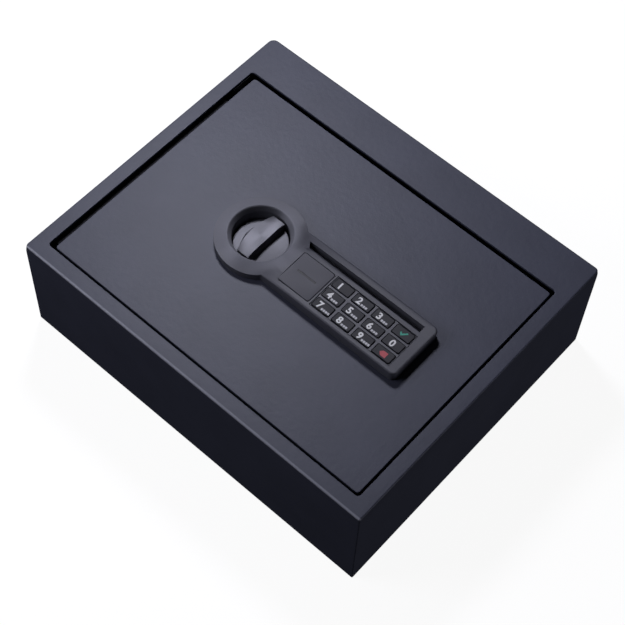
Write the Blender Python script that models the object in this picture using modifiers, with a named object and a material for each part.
"""Drawer-type gun safe with an inset lid and an electronic lock, as an assembly of separate pieces.

Metres, +Z up, +X to the right along the long side, -Y to the front, origin at the middle of the
underside.  The lid is shut and the lock is open: its bolts are drawn back.
"""
import math

import bmesh
import bpy
from mathutils import Matrix, Vector

MM = 0.001
GAP = 0.3 * MM                     # gap kept between pieces that touch

# Steel box
BODY_W = 350 * MM
BODY_D = 292 * MM
BODY_H = 110 * MM
SHEET = 2 * MM
CORNER_RADIUS = 2.2 * MM
TOP_BEND_RADIUS = 2 * MM
INSIDE_RADIUS = 0.4 * MM
SIDE_STRIP = 12.7 * MM             # visible width of the top frame beside the lid
FRONT_STRIP = 13.5 * MM
REAR_STRIP = 39.5 * MM
INNER_X = BODY_W / 2 - SHEET
INNER_Y = BODY_D / 2 - SHEET
OPENING_X = BODY_W / 2 - SIDE_STRIP
OPENING_FRONT = -BODY_D / 2 + FRONT_STRIP
OPENING_REAR = BODY_D / 2 - REAR_STRIP
OPENING_RADIUS = 3 * MM

# Lid
LID_DROP = 2.8 * MM                # lid's top below the frame's top
LID_T = 3 * MM
LID_TOP = BODY_H - LID_DROP
LID_UNDER = LID_TOP - LID_T
LID_SIDE_GAP = 3.9 * MM
LID_END_GAP = 2.9 * MM
LID_SHIFT = 0.8 * MM               # side play of the hinge, taken up to the right
LID_LEFT = -OPENING_X + LID_SIDE_GAP + LID_SHIFT
LID_RIGHT = OPENING_X - LID_SIDE_GAP + LID_SHIFT
LID_FRONT = OPENING_FRONT + LID_END_GAP
LID_REAR = OPENING_REAR - LID_END_GAP

# Base
HOLE_RADIUS = 4 * MM
HOLE_X = 120 * MM
HOLE_Y = 95 * MM
FIXINGS = ((-HOLE_X, -HOLE_Y), (HOLE_X, -HOLE_Y), (-HOLE_X, HOLE_Y), (HOLE_X, HOLE_Y))
MAT_HOLE_RADIUS = 7 * MM
MAT_T = 5.5 * MM
MAT_MARGIN = 6 * MM

# Hinge
HINGE_Y = LID_REAR - 11.6 * MM
HINGE_Z = LID_UNDER - 5.7 * MM
PIN_RADIUS = 2.5 * MM
PIN_CLEARANCE = 0.3 * MM
PLATE_T = 2.5 * MM
EAR_X = 150 * MM                   # inner face of a hinge ear
BRACKET_X = 161.5 * MM             # inner face of a hinge bracket

# Ledges under the lid
LEDGE_TOP = LID_UNDER - GAP
LEDGE_X = 152 * MM
LEDGE_REAR = 72 * MM
STRIKE_Y = -125 * MM
STRIKE_HALF = 122 * MM

# Lock bezel: a ring on the left and an arm to the right
RING_X = -42.4 * MM
LOCK_Y = -14.3 * MM
RING_RADIUS = 37.8 * MM
BEZEL_TOP = LID_TOP + 10.3 * MM
BEZEL_UNDER = LID_TOP + GAP
ARM_RIGHT = 118.6 * MM
ARM_HALF = 27.8 * MM
ARM_CORNER = 5 * MM
ARM_EDGE = 1.2 * MM
ARM_OVERLAP = 22.8 * MM            # how far the arm runs into the ring
CONE_RADIUS = 28 * MM              # where the ring's top starts to slope down
CONE_DROP = 3.9 * MM
BOWL_RADIUS = 23.6 * MM
BOWL_WALL = 1.3 * MM
MOUTH_RUN = 2.9 * MM               # chamfer round the bowl's mouth
MOUTH_DROP = 3.2 * MM
BOWL_FLOOR = BEZEL_TOP - 22.9 * MM
BOWL_FLOOR_T = 1.7 * MM
GROOVE_FRONT = 1.5 * MM
GROOVE_REAR = 7 * MM
GROOVE_LEFT = -5 * MM
GROOVE_RIGHT = 108.5 * MM
GROOVE_SLANT = 4 * MM
GROOVE_DEPTH = 7.5 * MM
HOLLOW_TOP = BEZEL_TOP - 3.7 * MM  # roof of the hollow below the keys
HOLLOW_LEFT = -1 * MM
HOLLOW_WALL = 2.3 * MM

# Keypad
KEY_W = 17 * MM
KEY_D = 8.8 * MM
KEY_H = 4.3 * MM
KEY_PROUD = 0.2 * MM
KEY_GAP = 0.45 * MM
KEY_PITCH_X = 20.35 * MM
KEY_PITCH_Y = 11.75 * MM
KEYS_X = 69.7 * MM                 # middle of the keypad
KEYS_Y = LOCK_Y - 6.05 * MM
KEYPAD_W = 80.2 * MM
KEYPAD_D = 34 * MM
KEYPAD_T = 3 * MM
KEYPAD_TOP = BEZEL_TOP - 0.5 * MM
KEY_NAMES = (("key_1", "key_2", "key_3", "key_enter"),
             ("key_4", "key_5", "key_6", "key_0"),
             ("key_7", "key_8", "key_9", "key_clear"))
KEY_COVER_W = 31.7 * MM
KEY_COVER_D = 32.5 * MM
KEY_COVER_T = 1.6 * MM
LOCK_X = 11.5 * MM                 # backup key lock, under the cover plate
BARREL_RADIUS = 9 * MM
BARREL_HEAD = 11 * MM
PLUG_RADIUS = 5.5 * MM

# Knob and the bolt work that it drives
KNOB_RADIUS = 22.4 * MM
KNOB_DISC_TOP = BEZEL_TOP - 10.5 * MM
KNOB_DISC_T = 11 * MM
GRIP_W = 11.6 * MM
GRIP_TOP = BEZEL_TOP - 3.5 * MM
SPINDLE_RADIUS = 5 * MM
SPINDLE_CLEARANCE = 0.5 * MM
CRANK_RADIUS = 9.9 * MM            # crank pin's distance from the knob's axis
CRANK_DISC_RADIUS = 14 * MM
CRANK_T = 2.8 * MM
CRANK_PIN_RADIUS = 2.5 * MM
CRANK_ANGLE = math.radians(135)    # crank pin's direction while the bolts are drawn back
SLOT_CLEARANCE = 0.6 * MM
BOLT_TRAVEL = 14 * MM
CARRIAGE_T = 3 * MM
CARRIAGE_DEEP = 7.1 * MM           # the carriage's underside below the bowl's
CARRIAGE_UNDER = BOWL_FLOOR - BOWL_FLOOR_T - CARRIAGE_DEEP
CARRIAGE_FRONT = -88 * MM
CARRIAGE_REAR = -56 * MM
CARRIAGE_HALF = 110 * MM
TONGUE_HALF = 17 * MM
TONGUE_REAR = 16 * MM
BOLT_RADIUS = 5 * MM
BOLT_X = 100 * MM
BOLT_Z = 96.3 * MM
BOLT_TIP = -123 * MM
BOLT_NECK_RADIUS = 3 * MM
STUD_X = 60 * MM
STUD_Y = -80 * MM
STUD_RADIUS = 3 * MM

# Solenoid
PLUNGER_Y = 5.5 * MM
PLUNGER_Z = 90 * MM
PLUNGER_RADIUS = 3 * MM
PLUNGER_TIP = -19.5 * MM
COIL_RADIUS = 7.5 * MM
COIL_LEFT = -10 * MM
COIL_RIGHT = 14 * MM
PLUNGER_COLLAR = 4.2 * MM          # radius of the collar that the spring pushes on
LUG_X = -21 * MM                   # right face of the carriage's lug
LUG_FRONT = 10.2 * MM
LUG_REAR = 14.8 * MM
LUG_H = 6.6 * MM

# Mechanism cover under the lid, battery compartment
COVER_HALF = 125 * MM
COVER_FRONT = -104.5 * MM
COVER_REAR = 38 * MM
COVER_UNDER = 79 * MM
COVER_T = 2 * MM
CELL_RADIUS = 7.1 * MM
CELL_LENGTH = 50 * MM
CELL_PITCH = 15 * MM
CELLS_X = 80 * MM
CELLS_Y = -20 * MM
CELLS_Z = 91 * MM
RIBBON_X = 60 * MM
TRAY_W = 63 * MM
TRAY_D = 55 * MM
DOOR_W = 59.2 * MM
DOOR_D = 51.2 * MM


def clear_scene():
    """Remove every object that the file starts with."""
    for obj in list(bpy.data.objects):
        bpy.data.objects.remove(obj, do_unlink=True)


def new_collection(name):
    """A collection linked to the scene."""
    collection = bpy.data.collections.new(name)
    bpy.context.scene.collection.children.link(collection)
    return collection


clear_scene()
PARTS = new_collection("gun_safe")
CUTTERS = new_collection("cutters")


def material(name, colour, roughness, metallic):
    """A plain Principled material."""
    made = bpy.data.materials.new(name)
    made.use_nodes = True
    shader = made.node_tree.nodes["Principled BSDF"]
    shader.inputs["Base Color"].default_value = (*colour, 1)
    shader.inputs["Roughness"].default_value = roughness
    shader.inputs["Metallic"].default_value = metallic
    return made


POWDER_COAT = material("powder_coat", (0.060, 0.064, 0.083), 0.55, 0.0)
ZINC_STEEL = material("zinc_steel", (0.55, 0.56, 0.58), 0.35, 1.0)
BLACK_STEEL = material("black_steel", (0.05, 0.05, 0.055), 0.5, 0.6)
BEZEL_PLASTIC = material("bezel_plastic", (0.055, 0.056, 0.068), 0.42, 0.0)
KNOB_SATIN = material("knob_satin", (0.20, 0.20, 0.22), 0.38, 0.3)
KEY_RUBBER = material("key_rubber", (0.030, 0.030, 0.037), 0.55, 0.0)
COVER_PLASTIC = material("cover_plastic", (0.025, 0.025, 0.028), 0.5, 0.0)
BOARD_GREEN = material("board_green", (0.02, 0.16, 0.06), 0.4, 0.0)
BRASS = material("brass", (0.75, 0.55, 0.22), 0.3, 1.0)
COPPER = material("copper", (0.72, 0.32, 0.16), 0.35, 1.0)
CELL_JACKET = material("cell_jacket", (0.30, 0.31, 0.33), 0.35, 0.0)
RIBBON = material("ribbon", (0.45, 0.46, 0.48), 0.5, 0.0)
FOAM = material("foam", (0.035, 0.035, 0.038), 0.95, 0.0)


def joint(name, at, parent=None):
    """An empty on a joint's axis; the pieces that move with the joint hang on it."""
    empty = bpy.data.objects.new(name, None)
    empty["world"] = tuple(at)
    PARTS.objects.link(empty)
    place(empty, at, parent)
    return empty


def place(obj, at, parent=None):
    """Put an object's origin at a world point, under a joint's empty if it has one."""
    base = Vector(parent["world"]) if parent else Vector((0, 0, 0))
    obj.location = Vector(at) - base
    obj.parent = parent


def add(name, mesh, at, finish, parent=None):
    """A piece, or a cutter if it has no finish."""
    obj = bpy.data.objects.new(name, mesh)
    if finish:
        mesh.materials.append(finish)
        PARTS.objects.link(obj)
    else:
        CUTTERS.objects.link(obj)
        obj.hide_render = True
        obj.display_type = "WIRE"
    place(obj, at, parent)
    return obj


def mesh_from(form, name):
    """Turn an edited bmesh into a mesh."""
    bmesh.ops.recalc_face_normals(form, faces=form.faces)
    mesh = bpy.data.meshes.new(name)
    form.to_mesh(mesh)
    form.free()
    return mesh


def cube_form(low, high):
    """A box between two corners, about its own middle, and that middle."""
    low, high = Vector(low), Vector(high)
    form = bmesh.new()
    bmesh.ops.create_cube(form, size=1)
    bmesh.ops.scale(form, vec=high - low, verts=form.verts)
    return form, (low + high) / 2


def upright(edge):
    """True if an edge runs along Z."""
    first, second = (vert.co for vert in edge.verts)
    return abs(first.x - second.x) < 1e-6 and abs(first.y - second.y) < 1e-6


def at_height(edge, height):
    """True if both ends of an edge lie at a height."""
    return all(abs(vert.co.z - height) < 1e-6 for vert in edge.verts)


def bevel_edges(form, edges, width, segments):
    """Round off a set of edges."""
    bmesh.ops.bevel(form, geom=edges, offset=width, segments=segments, profile=0.5,
                    affect="EDGES", clamp_overlap=True)


def box(name, low, high, finish=None, parent=None, corner=0, edge=0, segments=2):
    """A box between two corners, with its upright edges and its top edges rounded."""
    form, middle = cube_form(low, high)
    if corner:
        bevel_edges(form, [e for e in form.edges if upright(e)], corner, 2 * segments)
    if edge:
        top = max(vert.co.z for vert in form.verts)
        bevel_edges(form, [e for e in form.edges if at_height(e, top)], edge, segments)
    return add(name, mesh_from(form, name), middle, finish, parent)


def rod(name, start, end, radius, finish=None, parent=None, segments=24):
    """A round bar between two points; its origin is at the first one."""
    start, end = Vector(start), Vector(end)
    along = end - start
    form = bmesh.new()
    bmesh.ops.create_cone(form, cap_ends=True, segments=segments, radius1=radius, radius2=radius,
                          depth=along.length,
                          matrix=Matrix.Translation((0, 0, along.length / 2)))
    turn = Vector((0, 0, 1)).rotation_difference(along).to_matrix()
    bmesh.ops.rotate(form, cent=(0, 0, 0), matrix=turn, verts=form.verts)
    mesh = mesh_from(form, name)
    mesh.shade_smooth()
    mesh.set_sharp_from_angle(angle=math.radians(35))
    return add(name, mesh, start, finish, parent)


def turned(name, profile, at, finish=None, parent=None, steps=48, along="Z"):
    """A solid of revolution from (radius, height) points that run down its outer side."""
    form = bmesh.new()
    points = [form.verts.new((radius, 0, height)) for radius, height in profile]
    for first, second in zip(points, points[1:]):
        form.edges.new((first, second))
    mesh = bpy.data.meshes.new(name)
    form.to_mesh(mesh)
    form.free()
    obj = add(name, mesh, at, finish, parent)
    screw = obj.modifiers.new("turn", "SCREW")
    screw.steps = steps
    screw.render_steps = steps
    screw.use_merge_vertices = True
    screw.merge_threshold = 0.00001
    if along == "Y":
        obj.rotation_euler = (math.radians(90), 0, 0)
    return obj


def boolean(obj, other, operation):
    """Cut another object out of a piece, or join it on."""
    change = obj.modifiers.new(other.name, "BOOLEAN")
    change.object = other
    change.operation = operation
    change.solver = "EXACT"


def cut(obj, other):
    """Take another object's shape out of a piece."""
    boolean(obj, other, "DIFFERENCE")


def fuse(obj, other):
    """Join another object's shape to a piece."""
    boolean(obj, other, "UNION")


# ---------------------------------------------------------------- steel box

def body_shell():
    """Folded steel box, open below, with the lid's opening in its top."""
    obj = box("body_shell", (-BODY_W / 2, -BODY_D / 2, 0), (BODY_W / 2, BODY_D / 2, BODY_H),
              POWDER_COAT, corner=CORNER_RADIUS, edge=TOP_BEND_RADIUS, segments=3)
    cut(obj, box("cut_inside", (-INNER_X, -INNER_Y, -SHEET), (INNER_X, INNER_Y, BODY_H - SHEET),
                 corner=INSIDE_RADIUS, segments=1))
    cut(obj, box("cut_opening", (-OPENING_X, OPENING_FRONT, BODY_H - 2 * SHEET),
                 (OPENING_X, OPENING_REAR, BODY_H + SHEET), corner=OPENING_RADIUS))


def base_plate():
    """Floor of the box, with four fixing holes."""
    edge_x, edge_y = INNER_X - GAP, INNER_Y - GAP
    obj = box("base_plate", (-edge_x, -edge_y, 0), (edge_x, edge_y, SHEET), POWDER_COAT,
              corner=CORNER_RADIUS)
    for index, centre in enumerate(FIXINGS):
        cut(obj, rod(f"cut_fixing_{index}", (*centre, -SHEET), (*centre, 2 * SHEET), HOLE_RADIUS,
                     segments=16))


def foam_mat():
    """Soft lining on the floor, with a wider hole over each fixing hole."""
    edge_x, edge_y = INNER_X - MAT_MARGIN, INNER_Y - MAT_MARGIN
    top = SHEET + GAP + MAT_T
    obj = box("foam_mat", (-edge_x, -edge_y, SHEET + GAP), (edge_x, edge_y, top), FOAM,
              corner=4 * MM)
    for index, centre in enumerate(FIXINGS):
        cut(obj, rod(f"cut_mat_{index}", (*centre, 0), (*centre, 2 * top), MAT_HOLE_RADIUS,
                     segments=16))


def angle(name, flat_low, flat_high, leg_low, leg_high):
    """An angle section made of a flat and a leg."""
    obj = box(name, flat_low, flat_high, POWDER_COAT)
    fuse(obj, box(f"{name}_leg", leg_low, leg_high))


def ledges():
    """Angles that the lid rests on, and the front one that the bolts reach under."""
    under = LEDGE_TOP - SHEET
    foot = LEDGE_TOP - 14 * MM
    front = -INNER_Y + GAP
    wall = INNER_X - GAP
    angle("lid_ledge_left", (-wall, STRIKE_Y, under), (-LEDGE_X, LEDGE_REAR, LEDGE_TOP),
          (-wall, STRIKE_Y, foot), (-wall + SHEET, LEDGE_REAR, LEDGE_TOP))
    angle("lid_ledge_right", (LEDGE_X, STRIKE_Y, under), (wall, LEDGE_REAR, LEDGE_TOP),
          (wall - SHEET, STRIKE_Y, foot), (wall, LEDGE_REAR, LEDGE_TOP))
    angle("strike_angle", (-STRIKE_HALF, front, under), (STRIKE_HALF, STRIKE_Y, LEDGE_TOP),
          (-STRIKE_HALF, front, foot), (STRIKE_HALF, front + SHEET, LEDGE_TOP))


def hinge(side, name, lid):
    """One side's bracket under the frame, its pin, and the ear under the lid."""
    def span(near, far):
        """Two distances from the middle, as low and high X on this side."""
        return sorted((side * near, side * far))

    hang = BODY_H - SHEET - GAP
    low_x, high_x = span(BRACKET_X, BRACKET_X + PLATE_T)
    bracket = box(f"hinge_bracket_{name}", (low_x, HINGE_Y - 10 * MM, HINGE_Z - 7 * MM),
                  (high_x, HINGE_Y + 10 * MM, hang), BLACK_STEEL)
    low_x, high_x = span(BRACKET_X, INNER_X - GAP)
    fuse(bracket, box(f"bracket_flange_{name}", (low_x, HINGE_Y - 10 * MM, hang - PLATE_T),
                      (high_x, HINGE_Y + 10 * MM, hang)))

    low_x, high_x = span(EAR_X, EAR_X + PLATE_T)
    ear = box(f"hinge_ear_{name}", (low_x, HINGE_Y - 8 * MM, HINGE_Z - 5.5 * MM),
              (high_x, HINGE_Y + 8 * MM, LID_UNDER - GAP), BLACK_STEEL, lid)
    low_x, high_x = span(EAR_X - 12 * MM, EAR_X + PLATE_T)
    fuse(ear, box(f"ear_flange_{name}", (low_x, HINGE_Y - 8 * MM, LID_UNDER - GAP - PLATE_T),
                  (high_x, HINGE_Y + 8 * MM, LID_UNDER - GAP), parent=lid))

    for piece, parent in ((bracket, None), (ear, lid)):
        cut(piece, rod(f"cut_{piece.name}", (side * (EAR_X - 5 * MM), HINGE_Y, HINGE_Z),
                       (side * INNER_X, HINGE_Y, HINGE_Z), PIN_RADIUS + PIN_CLEARANCE,
                       parent=parent))
    head = BRACKET_X + PLATE_T + GAP
    pin = rod(f"hinge_pin_{name}", (side * (EAR_X - 2 * MM), HINGE_Y, HINGE_Z),
              (side * (head + MM), HINGE_Y, HINGE_Z), PIN_RADIUS, ZINC_STEEL, segments=20)
    fuse(pin, rod(f"pin_head_{name}", (side * head, HINGE_Y, HINGE_Z),
                  (side * (head + 2 * MM), HINGE_Y, HINGE_Z), 4 * MM, segments=20))


# ---------------------------------------------------------------- lid and bezel

def lid_panel(lid):
    """Flat lid with holes for the knob's bowl, the key lock and the keypad's lead."""
    obj = box("lid_panel", (LID_LEFT, LID_FRONT, LID_UNDER), (LID_RIGHT, LID_REAR, LID_TOP),
              POWDER_COAT, lid, corner=2.5 * MM, edge=0.6 * MM)
    holes = (("bowl", RING_X, LOCK_Y, BOWL_RADIUS + BOWL_WALL + 0.5 * MM, 48),
             ("barrel", LOCK_X, KEYS_Y, BARREL_RADIUS + 0.5 * MM, 24),
             ("lead", RIBBON_X, KEYS_Y, 8 * MM, 16))
    for name, x, y, radius, segments in holes:
        cut(obj, rod(f"cut_lid_{name}", (x, y, LID_UNDER - MM), (x, y, LID_TOP + MM), radius,
                     parent=lid, segments=segments))


def bezel_ring(lid):
    """Turned ring with a top that slopes outwards, and the outside of the bowl below it."""
    edge = 0.3 * MM
    profile = [(0, BEZEL_TOP),
               (CONE_RADIUS, BEZEL_TOP),
               (RING_RADIUS - edge, BEZEL_TOP - CONE_DROP),
               (RING_RADIUS, BEZEL_TOP - CONE_DROP - edge),
               (RING_RADIUS, BEZEL_UNDER),
               (BOWL_RADIUS + BOWL_WALL, BEZEL_UNDER),
               (BOWL_RADIUS + BOWL_WALL, BOWL_FLOOR - BOWL_FLOOR_T),
               (0, BOWL_FLOOR - BOWL_FLOOR_T)]
    return turned("lock_bezel", profile, (RING_X, LOCK_Y, 0), BEZEL_PLASTIC, lid, steps=64)


def bezel_arm(lid):
    """Right-hand arm, joined to the ring."""
    start = RING_X + RING_RADIUS - ARM_OVERLAP
    form, middle = cube_form((start, LOCK_Y - ARM_HALF, BEZEL_UNDER),
                             (ARM_RIGHT, LOCK_Y + ARM_HALF, BEZEL_TOP))
    right = [e for e in form.edges if upright(e) and e.verts[0].co.x > 0]
    bevel_edges(form, right, ARM_CORNER, 5)
    half = (BEZEL_TOP - BEZEL_UNDER) / 2
    left = (start - ARM_RIGHT) / 2
    rim = [e for e in form.edges if at_height(e, half)
           and not all(abs(vert.co.x - left) < 1e-6 for vert in e.verts)]
    bevel_edges(form, rim, ARM_EDGE, 2)
    return add("bezel_arm", mesh_from(form, "bezel_arm"), middle, None, lid)


def bowl_cutter(lid):
    """Inside of the knob's bowl: a straight well with a chamfered mouth, and the spindle's hole."""
    over = MM * MOUTH_RUN / MOUTH_DROP
    bore = SPINDLE_RADIUS + SPINDLE_CLEARANCE
    through = BOWL_FLOOR - 2 * BOWL_FLOOR_T
    profile = [(0, BEZEL_TOP + MM),
               (BOWL_RADIUS + MOUTH_RUN + over, BEZEL_TOP + MM),
               (BOWL_RADIUS, BEZEL_TOP - MOUTH_DROP),
               (BOWL_RADIUS, BOWL_FLOOR),
               (bore, BOWL_FLOOR),
               (bore, through),
               (0, through)]
    return turned("cut_bowl", profile, (RING_X, LOCK_Y, 0), None, lid, steps=64)


def groove_cutter(lid):
    """Finger groove behind the keys; its left end slants along the ring."""
    form, middle = cube_form((GROOVE_LEFT, GROOVE_FRONT, BEZEL_TOP - GROOVE_DEPTH),
                             (GROOVE_RIGHT, GROOVE_REAR, BEZEL_TOP + MM))
    for vert in form.verts:
        if vert.co.x < 0 and vert.co.y > 0:
            vert.co.x -= GROOVE_SLANT
    return add("cut_groove", mesh_from(form, "cut_groove"), middle, None, lid)


def lock_bezel(lid):
    """Key-shaped moulding: ring, arm, bowl, groove, keypad window and cover-plate recess."""
    obj = bezel_ring(lid)
    fuse(obj, bezel_arm(lid))
    cut(obj, bowl_cutter(lid))
    cut(obj, groove_cutter(lid))
    edge = GAP + KEYPAD_W / 2
    side = GAP + KEYPAD_D / 2
    cut(obj, box("cut_hollow", (HOLLOW_LEFT, LOCK_Y - ARM_HALF + HOLLOW_WALL, BEZEL_UNDER - MM),
                 (ARM_RIGHT - HOLLOW_WALL, GROOVE_FRONT - HOLLOW_WALL, HOLLOW_TOP), parent=lid))
    cut(obj, box("cut_window", (KEYS_X - edge, KEYS_Y - side, HOLLOW_TOP - MM),
                 (KEYS_X + edge, KEYS_Y + side, BEZEL_TOP + MM), parent=lid))
    recess_x, recess_y = KEY_COVER_W / 2 + GAP, KEY_COVER_D / 2 + GAP
    cut(obj, box("cut_recess", (LOCK_X - recess_x, KEYS_Y - recess_y, BEZEL_TOP - KEY_COVER_T - GAP),
                 (LOCK_X + recess_x, KEYS_Y + recess_y, BEZEL_TOP + MM), parent=lid,
                 corner=1.5 * MM))
    cut(obj, rod("cut_barrel_head", (LOCK_X, KEYS_Y, HOLLOW_TOP - MM), (LOCK_X, KEYS_Y, BEZEL_TOP),
                 BARREL_HEAD + 0.5 * MM, parent=lid))


def keypad(lid):
    """Grid plate round the keys and the board below them."""
    low_x, high_x = KEYS_X - KEYPAD_W / 2, KEYS_X + KEYPAD_W / 2
    low_y, high_y = KEYS_Y - KEYPAD_D / 2, KEYS_Y + KEYPAD_D / 2
    plate = box("keypad_plate", (low_x, low_y, KEYPAD_TOP - KEYPAD_T), (high_x, high_y, KEYPAD_TOP),
                BEZEL_PLASTIC, lid)
    board_top = KEYPAD_TOP - KEYPAD_T - 2 * MM
    box("keypad_board", (low_x + MM, low_y + MM, board_top - 1.6 * MM),
        (high_x - MM, high_y - MM, board_top), BOARD_GREEN, lid)
    for row, names in enumerate(KEY_NAMES):
        for column, name in enumerate(names):
            key(name, KEYS_X + (column - 1.5) * KEY_PITCH_X, KEYS_Y + (1 - row) * KEY_PITCH_Y,
                plate, lid)


def key(name, x, y, plate, lid):
    """One push key in its hole in the grid plate."""
    top = BEZEL_TOP + KEY_PROUD
    half_x, half_y = KEY_W / 2, KEY_D / 2
    hole_x, hole_y = half_x + KEY_GAP, half_y + KEY_GAP
    cut(plate, box(f"cut_{name}", (x - hole_x, y - hole_y, KEYPAD_TOP - KEYPAD_T - MM),
                   (x + hole_x, y + hole_y, KEYPAD_TOP + MM), parent=lid))
    travel = joint(f"{name}_travel", (x, y, top), lid)
    box(name, (x - half_x, y - half_y, top - KEY_H), (x + half_x, y + half_y, top), KEY_RUBBER,
        travel, corner=0.8 * MM, edge=0.4 * MM, segments=1)


def key_cover(lid):
    """Plate over the backup key lock; it lifts off."""
    top = BEZEL_TOP + KEY_PROUD
    lift = joint("key_cover_lift", (LOCK_X, KEYS_Y, top), lid)
    half_x, half_y = KEY_COVER_W / 2, KEY_COVER_D / 2
    box("key_cover", (LOCK_X - half_x, KEYS_Y - half_y, top - KEY_COVER_T),
        (LOCK_X + half_x, KEYS_Y + half_y, top), BEZEL_PLASTIC, lift, corner=1.5 * MM, edge=0.4 * MM)


def key_lock(lid):
    """Backup lock: barrel with a head, turning plug with a keyway, and its cam."""
    head_top = BEZEL_TOP - KEY_COVER_T - GAP
    foot = BOWL_FLOOR - BOWL_FLOOR_T - 0.1 * MM
    at = (LOCK_X, KEYS_Y, 0)
    turned("key_lock_barrel", [(PLUG_RADIUS + GAP, head_top),
                               (BARREL_HEAD, head_top),
                               (BARREL_HEAD, head_top - 2 * MM),
                               (BARREL_RADIUS, head_top - 2 * MM),
                               (BARREL_RADIUS, foot),
                               (PLUG_RADIUS + GAP, foot),
                               (PLUG_RADIUS + GAP, head_top)], at, ZINC_STEEL, lid, steps=32)
    turn = joint("lock_plug_turn", (LOCK_X, KEYS_Y, foot), lid)
    plug = rod("lock_plug", (LOCK_X, KEYS_Y, foot - GAP), (LOCK_X, KEYS_Y, head_top - GAP),
               PLUG_RADIUS, BRASS, turn)
    cut(plug, box("cut_keyway", (LOCK_X - MM, KEYS_Y - 3.5 * MM, head_top - 8 * MM),
                  (LOCK_X + MM, KEYS_Y + 3.5 * MM, head_top + MM), parent=turn))
    cam_top = foot - 2 * GAP
    box("lock_cam", (LOCK_X - 6 * MM, KEYS_Y - 6 * MM, cam_top - 2.5 * MM),
        (LOCK_X + 13 * MM, KEYS_Y + 6 * MM, cam_top), ZINC_STEEL, turn, corner=3 * MM)


# ---------------------------------------------------------------- knob and bolt work

def knob(turn):
    """Round knob with a bar grip across its whole width."""
    disc_under = KNOB_DISC_TOP - KNOB_DISC_T
    rim = MM
    profile = [(0, KNOB_DISC_TOP), (KNOB_RADIUS - rim, KNOB_DISC_TOP),
               (KNOB_RADIUS, KNOB_DISC_TOP - rim), (KNOB_RADIUS, disc_under), (0, disc_under)]
    obj = turned("knob", profile, (RING_X, LOCK_Y, 0), KNOB_SATIN, turn, steps=48)
    grip = turned("knob_grip_round", [(0, GRIP_TOP), (KNOB_RADIUS - 2 * rim, GRIP_TOP),
                                      (KNOB_RADIUS, GRIP_TOP - 2 * rim),
                                      (KNOB_RADIUS, disc_under + rim), (0, disc_under + rim)],
                  (RING_X, LOCK_Y, 0), None, turn, steps=48)
    bar = box("knob_grip_bar", (RING_X - GRIP_W / 2, LOCK_Y - 30 * MM, disc_under + rim),
              (RING_X + GRIP_W / 2, LOCK_Y + 30 * MM, GRIP_TOP + MM), parent=turn)
    boolean(grip, bar, "INTERSECT")
    fuse(obj, grip)


def drive(turn):
    """Spindle and crank below the knob."""
    crank_top = BOWL_FLOOR - BOWL_FLOOR_T - 0.5 * MM
    rod("knob_spindle", (RING_X, LOCK_Y, crank_top + GAP),
        (RING_X, LOCK_Y, KNOB_DISC_TOP - KNOB_DISC_T - GAP), SPINDLE_RADIUS, ZINC_STEEL, turn)
    crank = rod("drive_crank", (RING_X, LOCK_Y, crank_top - CRANK_T), (RING_X, LOCK_Y, crank_top),
                CRANK_DISC_RADIUS, ZINC_STEEL, turn, segments=40)
    x = RING_X + CRANK_RADIUS * math.cos(CRANK_ANGLE)
    y = LOCK_Y + CRANK_RADIUS * math.sin(CRANK_ANGLE)
    fuse(crank, rod("crank_pin", (x, y, CARRIAGE_UNDER - MM), (x, y, crank_top - MM),
                    CRANK_PIN_RADIUS, parent=turn, segments=20))


def bolt_carriage(slide):
    """Sliding plate: a cross bar with the bolts, a tongue with the crank's slot, and a lug."""
    top = CARRIAGE_UNDER + CARRIAGE_T
    obj = box("bolt_carriage", (-CARRIAGE_HALF, CARRIAGE_FRONT, CARRIAGE_UNDER),
              (CARRIAGE_HALF, CARRIAGE_REAR, top), ZINC_STEEL, slide)
    fuse(obj, box("carriage_tongue", (RING_X - TONGUE_HALF, CARRIAGE_REAR - MM, CARRIAGE_UNDER),
                  (RING_X + TONGUE_HALF, TONGUE_REAR, top), parent=slide))
    fuse(obj, box("carriage_lug", (RING_X + TONGUE_HALF - 2 * MM, LUG_FRONT, CARRIAGE_UNDER),
                  (LUG_X, LUG_REAR, CARRIAGE_UNDER + LUG_H), parent=slide))
    pin_x = RING_X + CRANK_RADIUS * math.cos(CRANK_ANGLE)
    pin_y = LOCK_Y + CRANK_RADIUS * math.sin(CRANK_ANGLE)
    reach = CRANK_PIN_RADIUS + SLOT_CLEARANCE
    cut(obj, box("cut_crank_slot", (RING_X - CRANK_RADIUS - reach, pin_y - reach, CARRIAGE_UNDER - MM),
                 (pin_x + reach, pin_y + reach, top + MM), parent=slide))
    for side, name in ((-1, "left"), (1, "right")):
        x = side * BOLT_X
        fuse(obj, box(f"carriage_tab_{name}", (x - 9 * MM, CARRIAGE_FRONT, CARRIAGE_UNDER),
                      (x + 9 * MM, CARRIAGE_FRONT + CARRIAGE_T, BOLT_Z + 6 * MM), parent=slide))
        cut(obj, rod(f"cut_tab_{name}", (x, CARRIAGE_FRONT - MM, BOLT_Z),
                     (x, CARRIAGE_FRONT + CARRIAGE_T + MM, BOLT_Z), BOLT_NECK_RADIUS + GAP,
                     parent=slide))
        x = side * STUD_X
        reach = STUD_RADIUS + GAP
        cut(obj, box(f"cut_stud_slot_{name}", (x - reach, STUD_Y - reach, CARRIAGE_UNDER - MM),
                     (x + reach, STUD_Y + BOLT_TRAVEL + reach, top + MM), parent=slide))


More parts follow.
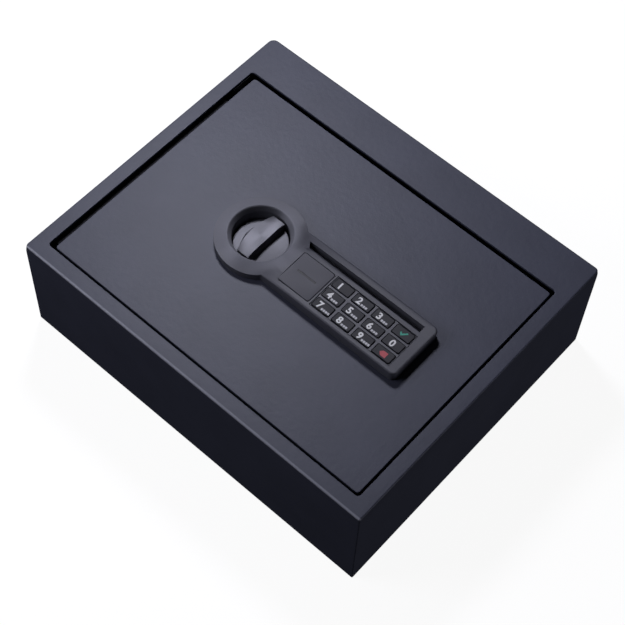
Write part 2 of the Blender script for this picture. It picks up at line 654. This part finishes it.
def bolts(slide):
    """Two round bolts, each with a neck through its tab and a collar behind it."""
    neck_end = CARRIAGE_FRONT + CARRIAGE_T + GAP
    shoulder = CARRIAGE_FRONT - GAP
    chamfer = MM
    for side, name in ((-1, "left"), (1, "right")):
        profile = [(0, -BOLT_TIP), (BOLT_RADIUS - chamfer, -BOLT_TIP),
                   (BOLT_RADIUS, -BOLT_TIP - chamfer), (BOLT_RADIUS, -shoulder),
                   (BOLT_NECK_RADIUS, -shoulder), (BOLT_NECK_RADIUS, -neck_end),
                   (BOLT_RADIUS, -neck_end), (BOLT_RADIUS, -neck_end - 4 * MM),
                   (0, -neck_end - 4 * MM)]
        turned(f"bolt_{name}", profile, (side * BOLT_X, 0, BOLT_Z), ZINC_STEEL, slide, steps=24,
               along="Y")


def bolt_guides(lid):
    """Blocks that the bolts slide through, and headed studs that carry the carriage."""
    hang = LID_UNDER - GAP
    head_top = CARRIAGE_UNDER - GAP
    for side, name in ((-1, "left"), (1, "right")):
        x = side * BOLT_X
        block = box(f"bolt_guide_{name}", (x - 9 * MM, -118 * MM, BOLT_Z - 7 * MM),
                    (x + 9 * MM, -106 * MM, hang), BLACK_STEEL, lid)
        cut(block, rod(f"cut_guide_{name}", (x, -120 * MM, BOLT_Z), (x, -104 * MM, BOLT_Z),
                       BOLT_RADIUS + GAP, parent=lid))
        turned(f"guide_stud_{name}", [(0, hang), (STUD_RADIUS, hang), (STUD_RADIUS, head_top),
                                      (5 * MM, head_top), (5 * MM, head_top - 2 * MM),
                                      (0, head_top - 2 * MM)],
               (side * STUD_X, STUD_Y, 0), ZINC_STEEL, lid, steps=16)


# ---------------------------------------------------------------- solenoid

def solenoid(lid):
    """Frame, coil, plunger and spring; the plunger is drawn in."""
    wall = 1.2 * MM
    reach = COIL_RADIUS + wall
    left, right = COIL_LEFT - GAP - wall, COIL_RIGHT + GAP + wall
    low = (left, PLUNGER_Y - reach, PLUNGER_Z - reach)
    high = (right, PLUNGER_Y + reach, PLUNGER_Z + reach)
    frame = box("solenoid_frame", low, high, ZINC_STEEL, lid)
    cut(frame, box("cut_solenoid", (left + wall, low[1] - MM, low[2] - MM),
                   (right - wall, high[1] + MM, high[2] - wall), parent=lid))
    coil = rod("solenoid_coil", (COIL_LEFT, PLUNGER_Y, PLUNGER_Z), (COIL_RIGHT, PLUNGER_Y, PLUNGER_Z),
               COIL_RADIUS, COPPER, lid, segments=32)
    bore = PLUNGER_RADIUS + GAP
    for piece in (frame, coil):
        cut(piece, rod(f"cut_bore_{piece.name}", (left - MM, PLUNGER_Y, PLUNGER_Z),
                       (right + MM, PLUNGER_Y, PLUNGER_Z), bore, parent=lid))
    slide = joint("plunger_slide", (PLUNGER_TIP, PLUNGER_Y, PLUNGER_Z), lid)
    plunger = rod("solenoid_plunger", (PLUNGER_TIP, PLUNGER_Y, PLUNGER_Z),
                  (right + 8 * MM, PLUNGER_Y, PLUNGER_Z), PLUNGER_RADIUS, ZINC_STEEL, slide)
    fuse(plunger, rod("plunger_collar", (PLUNGER_TIP + MM, PLUNGER_Y, PLUNGER_Z),
                      (PLUNGER_TIP + 2 * MM, PLUNGER_Y, PLUNGER_Z), PLUNGER_COLLAR,
                      parent=slide))
    spring("plunger_spring", PLUNGER_TIP + 2.5 * MM, left - 0.5 * MM, lid)


def spring(name, start, end, lid):
    """Small coil spring round the plunger."""
    turns, steps = 3, 10
    wire = 0.3 * MM
    radius = PLUNGER_RADIUS + 2 * wire + GAP
    count = turns * steps + 1
    curve = bpy.data.curves.new(name, "CURVE")
    curve.dimensions = "3D"
    curve.bevel_depth = wire
    curve.bevel_resolution = 1
    curve.use_fill_caps = True
    line = curve.splines.new("POLY")
    line.points.add(count - 1)
    for index, point in enumerate(line.points):
        turn = 2 * math.pi * index / steps
        x = wire + (end - start - 2 * wire) * index / (count - 1)
        point.co = (x, radius * math.cos(turn), radius * math.sin(turn), 1)
    obj = bpy.data.objects.new(name, curve)
    curve.materials.append(ZINC_STEEL)
    PARTS.objects.link(obj)
    place(obj, (start, PLUNGER_Y, PLUNGER_Z), lid)


# ---------------------------------------------------------------- cover, boards and batteries

def mechanism_cover(lid):
    """Moulded cover under the lid, with holes for the bolts and the battery door."""
    obj = box("mechanism_cover", (-COVER_HALF, COVER_FRONT, COVER_UNDER),
              (COVER_HALF, COVER_REAR, LID_UNDER - GAP), COVER_PLASTIC, lid, corner=4 * MM)
    cut(obj, box("cut_cover", (-COVER_HALF + COVER_T, COVER_FRONT + COVER_T, COVER_UNDER + COVER_T),
                 (COVER_HALF - COVER_T, COVER_REAR - COVER_T, LID_UNDER + MM), parent=lid,
                 corner=2 * MM))
    door_x, door_y = DOOR_W / 2 + 0.4 * MM, DOOR_D / 2 + 0.4 * MM
    cut(obj, box("cut_battery_door", (CELLS_X - door_x, CELLS_Y - door_y, COVER_UNDER - MM),
                 (CELLS_X + door_x, CELLS_Y + door_y, COVER_UNDER + 2 * COVER_T), parent=lid))
    for side, name in ((-1, "left"), (1, "right")):
        cut(obj, rod(f"cut_cover_bolt_{name}", (side * BOLT_X, COVER_FRONT - MM, BOLT_Z),
                     (side * BOLT_X, COVER_FRONT + 2 * COVER_T, BOLT_Z), BOLT_RADIUS + MM,
                     parent=lid))
    for side, side_name in ((-1, "left"), (1, "right")):
        for y, end_name in ((COVER_FRONT + 12 * MM, "front"), (COVER_REAR - 9 * MM, "rear")):
            cover_screw(f"cover_screw_{end_name}_{side_name}", side * 116 * MM, y, obj, lid)


def cover_screw(name, x, y, cover, lid):
    """A long pan-head screw that holds the cover to the lid."""
    cut(cover, rod(f"cut_{name}", (x, y, COVER_UNDER - MM), (x, y, COVER_UNDER + 2 * COVER_T),
                   1.8 * MM, parent=lid, segments=16))
    seat = COVER_UNDER - GAP
    obj = turned(name, [(0, LID_UNDER - GAP), (1.5 * MM, LID_UNDER - GAP), (1.5 * MM, seat),
                        (3.2 * MM, seat), (3.2 * MM, seat - 1.2 * MM),
                        (2.2 * MM, seat - 2.1 * MM), (0, seat - 2.1 * MM)],
                 (x, y, 0), ZINC_STEEL, lid, steps=16)
    for turn in (0, 1):
        half = (2 * MM, 0.35 * MM)
        cut(obj, box(f"cut_{name}_{turn}", (x - half[turn], y - half[1 - turn], seat - 3 * MM),
                     (x + half[turn], y + half[1 - turn], seat - MM), parent=lid))


def electronics(lid):
    """Control board under the lid and the lead from the keypad's board."""
    under = LID_UNDER - 5 * MM
    box("control_board", (-120 * MM, -48 * MM, under - 1.6 * MM), (-74 * MM, 24 * MM, under),
        BOARD_GREEN, lid)
    board_under = KEYPAD_TOP - KEYPAD_T - 3.6 * MM
    box("keypad_ribbon", (RIBBON_X - 6 * MM, KEYS_Y - 0.6 * MM, LID_UNDER - 2.4 * MM),
        (RIBBON_X + 6 * MM, KEYS_Y + 0.6 * MM, board_under - GAP), RIBBON, lid)


def battery_box(lid):
    """Tray, open below, with four AA cells side by side."""
    wall = 1.5 * MM
    low_x, high_x = CELLS_X - TRAY_W / 2, CELLS_X + TRAY_W / 2
    low_y, high_y = CELLS_Y - TRAY_D / 2, CELLS_Y + TRAY_D / 2
    floor = COVER_UNDER + COVER_T + GAP
    roof = CELLS_Z + CELL_RADIUS + GAP + wall
    tray = box("battery_box", (low_x, low_y, floor), (high_x, high_y, roof), COVER_PLASTIC, lid)
    cut(tray, box("cut_tray", (low_x + wall, low_y + wall, floor - MM),
                  (high_x - wall, high_y - wall, roof - wall), parent=lid))
    for index in range(4):
        end = 1 if index % 2 else -1
        x = CELLS_X + (index - 1.5) * CELL_PITCH
        tip = CELLS_Y + end * CELL_LENGTH / 2
        cell = rod(f"aa_cell_{index + 1}", (x, tip - end * MM, CELLS_Z),
                   (x, CELLS_Y - end * CELL_LENGTH / 2, CELLS_Z), CELL_RADIUS, CELL_JACKET, lid)
        fuse(cell, rod(f"cell_tip_{index + 1}", (x, tip, CELLS_Z), (x, tip - 2 * end * MM, CELLS_Z),
                       2.7 * MM, parent=lid, segments=16))


def battery_door(lid):
    """Hinged door flush in the cover, on a pair of moulded pivots at its rear edge."""
    under = COVER_UNDER
    rear = CELLS_Y + DOOR_D / 2
    swing = joint("battery_door_swing", (CELLS_X, rear, under), lid)
    box("battery_door", (CELLS_X - DOOR_W / 2, CELLS_Y - DOOR_D / 2, under),
        (CELLS_X + DOOR_W / 2, rear, under + COVER_T - GAP), COVER_PLASTIC, swing)


def main():
    """Build the whole safe."""
    body_shell()
    base_plate()
    foam_mat()
    ledges()
    lid = joint("lid_swing", (0, HINGE_Y, HINGE_Z))
    for side, name in ((-1, "left"), (1, "right")):
        hinge(side, name, lid)
    lid_panel(lid)
    lock_bezel(lid)
    keypad(lid)
    key_cover(lid)
    key_lock(lid)
    turn = joint("knob_turn", (RING_X, LOCK_Y, BEZEL_TOP), lid)
    knob(turn)
    drive(turn)
    slide = joint("bolt_slide", (0, CARRIAGE_FRONT, BOLT_Z), lid)
    bolt_carriage(slide)
    bolts(slide)
    bolt_guides(lid)
    solenoid(lid)
    mechanism_cover(lid)
    electronics(lid)
    battery_box(lid)
    battery_door(lid)


main()
